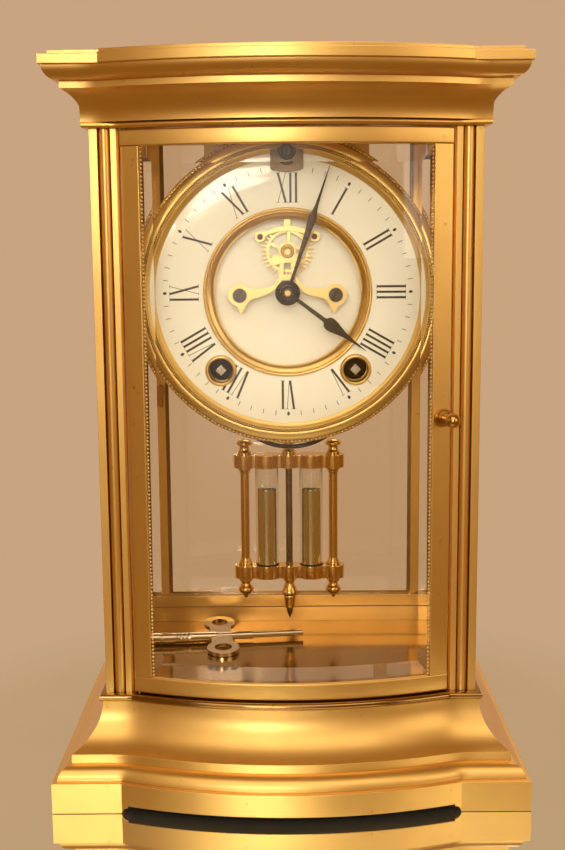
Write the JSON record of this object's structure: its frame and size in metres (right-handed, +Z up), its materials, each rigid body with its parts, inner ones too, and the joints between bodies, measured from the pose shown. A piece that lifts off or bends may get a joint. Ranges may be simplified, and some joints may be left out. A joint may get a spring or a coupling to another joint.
{
  "type": "crystal regulator clock",
  "caption": "Brass mantel clock with bevelled glass on all sides, bowed front door, porcelain dial with visible escapement and a quicksilver jar pendulum.",
  "frame": {"origin": "middle of the base's footprint on the surface it stands on", "axes": "+Z up, the dial faces -Y, +X to the viewer's right"},
  "size_m": [0.1694, 0.1324, 0.2623],
  "materials": {
    "case_brass": "polished and lacquered",
    "dial_brass": "gilt, polished",
    "movement_brass": "satin",
    "clear_glass": "polished, bevelled edges",
    "porcelain": "white glaze, black numerals",
    "blued_steel": "dark blued, polished",
    "steel": "polished",
    "gong_steel": "dark tempered",
    "nickel": "nickel plated, worn",
    "quicksilver": "liquid metal",
    "garnet": "polished stone"
  },
  "bodies": {
    "case": {"base_plinth": "case_brass", "floor_plate": "case_brass", "top_plate": "case_brass", "cornice": "case_brass", "front_left_column": "case_brass", "front_right_column": "case_brass", "rear_left_column": "case_brass", "rear_right_column": "case_brass", "hinge_pins": "case_brass", "left_glass": "clear_glass", "right_glass": "clear_glass", "rear_crossbar": "case_brass", "bezel": "dial_brass", "dial_pan": "movement_brass", "chapter_ring": "porcelain", "centre_ring": "dial_brass", "centre_dial": "porcelain", "winding_ferrules": "dial_brass", "hand_nut": "dial_brass", "escape_bridge": "dial_brass", "bridge_screws": "blued_steel", "front_plate": "movement_brass", "back_plate": "movement_brass", "movement_straps": "movement_brass", "time_barrel": "movement_brass", "strike_barrel": "movement_brass", "going_train": "movement_brass", "strike_train": "movement_brass", "gong": "gong_steel", "gong_block": "movement_brass", "suspension_cock": "movement_brass"},
    "front_door": {"front_top_rail": "case_brass", "front_bottom_rail": "case_brass", "front_left_stile": "case_brass", "front_right_stile": "case_brass", "front_glass": "clear_glass"},
    "front_latch": {"front_latch": "case_brass"},
    "rear_door": {"rear_rails": "case_brass", "rear_stiles": "case_brass", "rear_glass": "clear_glass"},
    "rear_latch": {"rear_latch": "case_brass"},
    "minute_hand": {"minute_hand": "blued_steel", "cannon_pinion": "movement_brass"},
    "hour_hand": {"hour_hand": "blued_steel", "hour_wheel": "movement_brass"},
    "minute_wheel": {"minute_wheel": "movement_brass"},
    "pendulum": {"pendulum_rod": "steel", "pendulum_frame": "dial_brass", "pendulum_jars": "clear_glass", "quicksilver": "quicksilver"},
    "anchor": {"anchor": "dial_brass", "pallet_stones": "garnet", "anchor_arbor": "steel"},
    "escape_wheel": {"escape_wheel": "dial_brass"},
    "rating_nut": {"rating_nut": "dial_brass"},
    "time_winding_arbor": {"time_winding_arbor": "steel"},
    "strike_winding_arbor": {"strike_winding_arbor": "steel"},
    "hammer": {"hammer": "gong_steel"},
    "regulator_arbor": {"regulator_arbor": "blued_steel"},
    "winding_key": {"winding_key": "nickel"}
  },
  "joints": [
    {"name": "front_door_hinge", "type": "hinge", "parent": "case", "child": "front_door", "pos_m": [-0.055, -0.03751, 0.138], "axis": [0, 0, -1], "range_deg": [0, 90]},
    {"name": "front_latch_turn", "type": "hinge", "parent": "front_door", "child": "front_latch", "pos_m": [0.05385, -0.03961, 0.1385], "axis": [0.3216, -0.9469, 0], "range_deg": [0, 90]},
    {"name": "rear_door_hinge", "type": "hinge", "parent": "case", "child": "rear_door", "pos_m": [0.055, 0.0469, 0.138], "axis": [0, 0, -1], "range_deg": [0, 100]},
    {"name": "rear_latch_turn", "type": "hinge", "parent": "rear_door", "child": "rear_latch", "pos_m": [-0.05385, 0.0485, 0.1385], "axis": [0, 1, 0], "range_deg": [0, 90]},
    {"name": "minute_hand_turn", "type": "hinge", "parent": "case", "child": "minute_hand", "pos_m": [0, -0.019, 0.1815], "axis": [0, 1, 0], "continuous": true},
    {"name": "hour_hand_turn", "type": "hinge", "parent": "case", "child": "hour_hand", "pos_m": [0, -0.019, 0.1815], "axis": [0, 1, 0], "continuous": true},
    {"name": "minute_wheel_turn", "type": "hinge", "parent": "case", "child": "minute_wheel", "pos_m": [-0.01088, -0.009, 0.17643], "axis": [0, 1, 0], "continuous": true},
    {"name": "pendulum_swing", "type": "hinge", "parent": "case", "child": "pendulum", "pos_m": [0, 0.033, 0.2183], "axis": [0, 1, 0], "range_deg": [-2.5, 2.5]},
    {"name": "anchor_rock", "type": "hinge", "parent": "case", "child": "anchor", "pos_m": [0, 0, 0.2183], "axis": [0, 1, 0], "range_deg": [-2.5, 2.5]},
    {"name": "escape_wheel_step", "type": "hinge", "parent": "case", "child": "escape_wheel", "pos_m": [0, -0.0143, 0.1963], "axis": [0, 1, 0], "range_deg": [-2.5, 2.5]},
    {"name": "rating_nut_turn", "type": "hinge", "parent": "pendulum", "child": "rating_nut", "pos_m": [0, 0.033, 0.0572], "axis": [0, 0, 1], "continuous": true},
    {"name": "time_winding", "type": "hinge", "parent": "case", "child": "time_winding_arbor", "pos_m": [0.0244, 0, 0.1534], "axis": [0, 1, 0], "continuous": true},
    {"name": "strike_winding", "type": "hinge", "parent": "case", "child": "strike_winding_arbor", "pos_m": [-0.0244, 0, 0.1534], "axis": [0, 1, 0], "continuous": true},
    {"name": "hammer_swing", "type": "hinge", "parent": "case", "child": "hammer", "pos_m": [-0.032, 0.005, 0.1915], "axis": [0, 1, 0], "range_deg": [0, 12]},
    {"name": "regulator_turn", "type": "hinge", "parent": "case", "child": "regulator_arbor", "pos_m": [0, 0, 0.2295], "axis": [0, 1, 0], "range_deg": [-180, 180]},
    {"name": "key_slide", "type": "slide", "parent": "case", "child": "winding_key", "axis": [0, -1, 0], "range_m": [0, 0.02]}
  ],
  "couplings": [
    {"joint": "hour_hand_turn", "follows": "minute_hand_turn", "ratio": 0.083333},
    {"joint": "minute_wheel_turn", "follows": "minute_hand_turn", "ratio": -0.33333},
    {"joint": "anchor_rock", "follows": "pendulum_swing", "ratio": 1},
    {"joint": "escape_wheel_step", "follows": "pendulum_swing", "ratio": 1}
  ]
}
